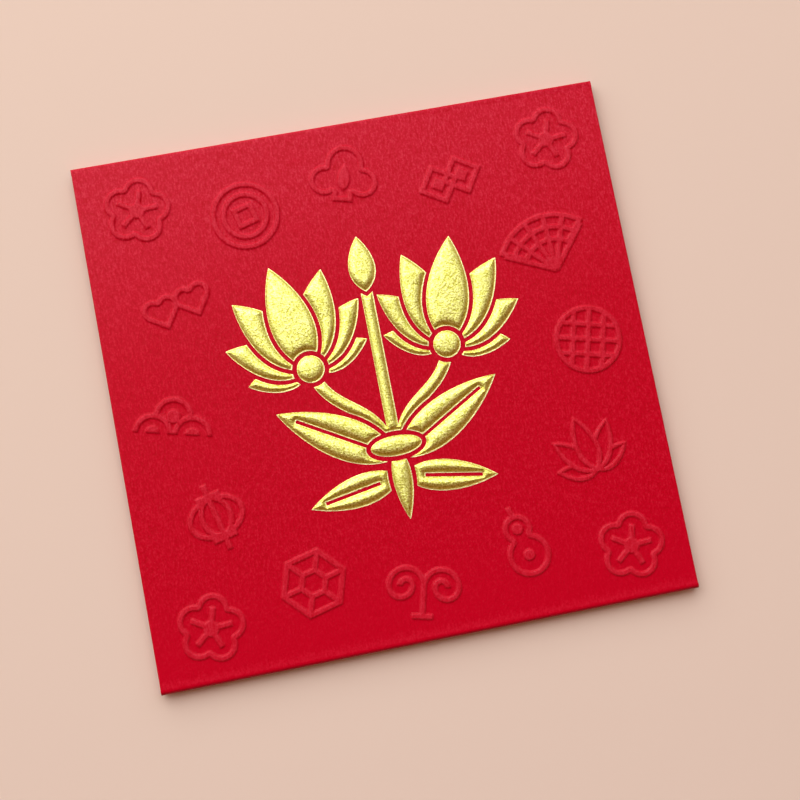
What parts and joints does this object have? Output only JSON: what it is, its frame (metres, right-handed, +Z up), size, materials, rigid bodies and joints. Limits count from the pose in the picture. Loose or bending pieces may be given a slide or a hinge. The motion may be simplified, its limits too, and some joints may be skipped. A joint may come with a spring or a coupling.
{
  "type": "red envelope",
  "caption": "Square gift envelope of folded red card with a gold foil emblem, embossed motifs and a flap that folds shut.",
  "frame": {"origin": "middle of the base, on the surface that the closed envelope lies on", "axes": "+X to the right of the front, +Y to the top edge with the flap's fold, +Z up, out of the front"},
  "size_m": [0.09, 0.0884, 0.0028],
  "materials": {
    "red_card": "satin card with fine vertical fibre grain",
    "gold_foil": "hot-stamped foil, fine hammered grain",
    "dry_glue": "dried glue film",
    "clear_tape": "double-sided adhesive tape",
    "release_paper": "silicone-coated release paper"
  },
  "bodies": {
    "envelope": {"front_panel": "red_card", "gold_emblem": "gold_foil", "left_side_fold": "red_card", "right_side_fold": "red_card", "bottom_fold": "red_card", "flap_fold": "red_card", "left_side_tab": "red_card", "right_side_tab": "red_card", "left_glue_strip": "dry_glue", "right_glue_strip": "dry_glue", "back_panel": "red_card"},
    "flap": {"closure_flap": "red_card", "closing_tape": "clear_tape", "release_paper": "release_paper"}
  },
  "joints": [
    {"name": "flap_hinge", "type": "hinge", "parent": "envelope", "child": "flap", "pos_m": [0, 0.04312, 0.00113], "axis": [1, 0, 0], "range_deg": [0, 178], "deforming": ["flap_fold"]}
  ]
}
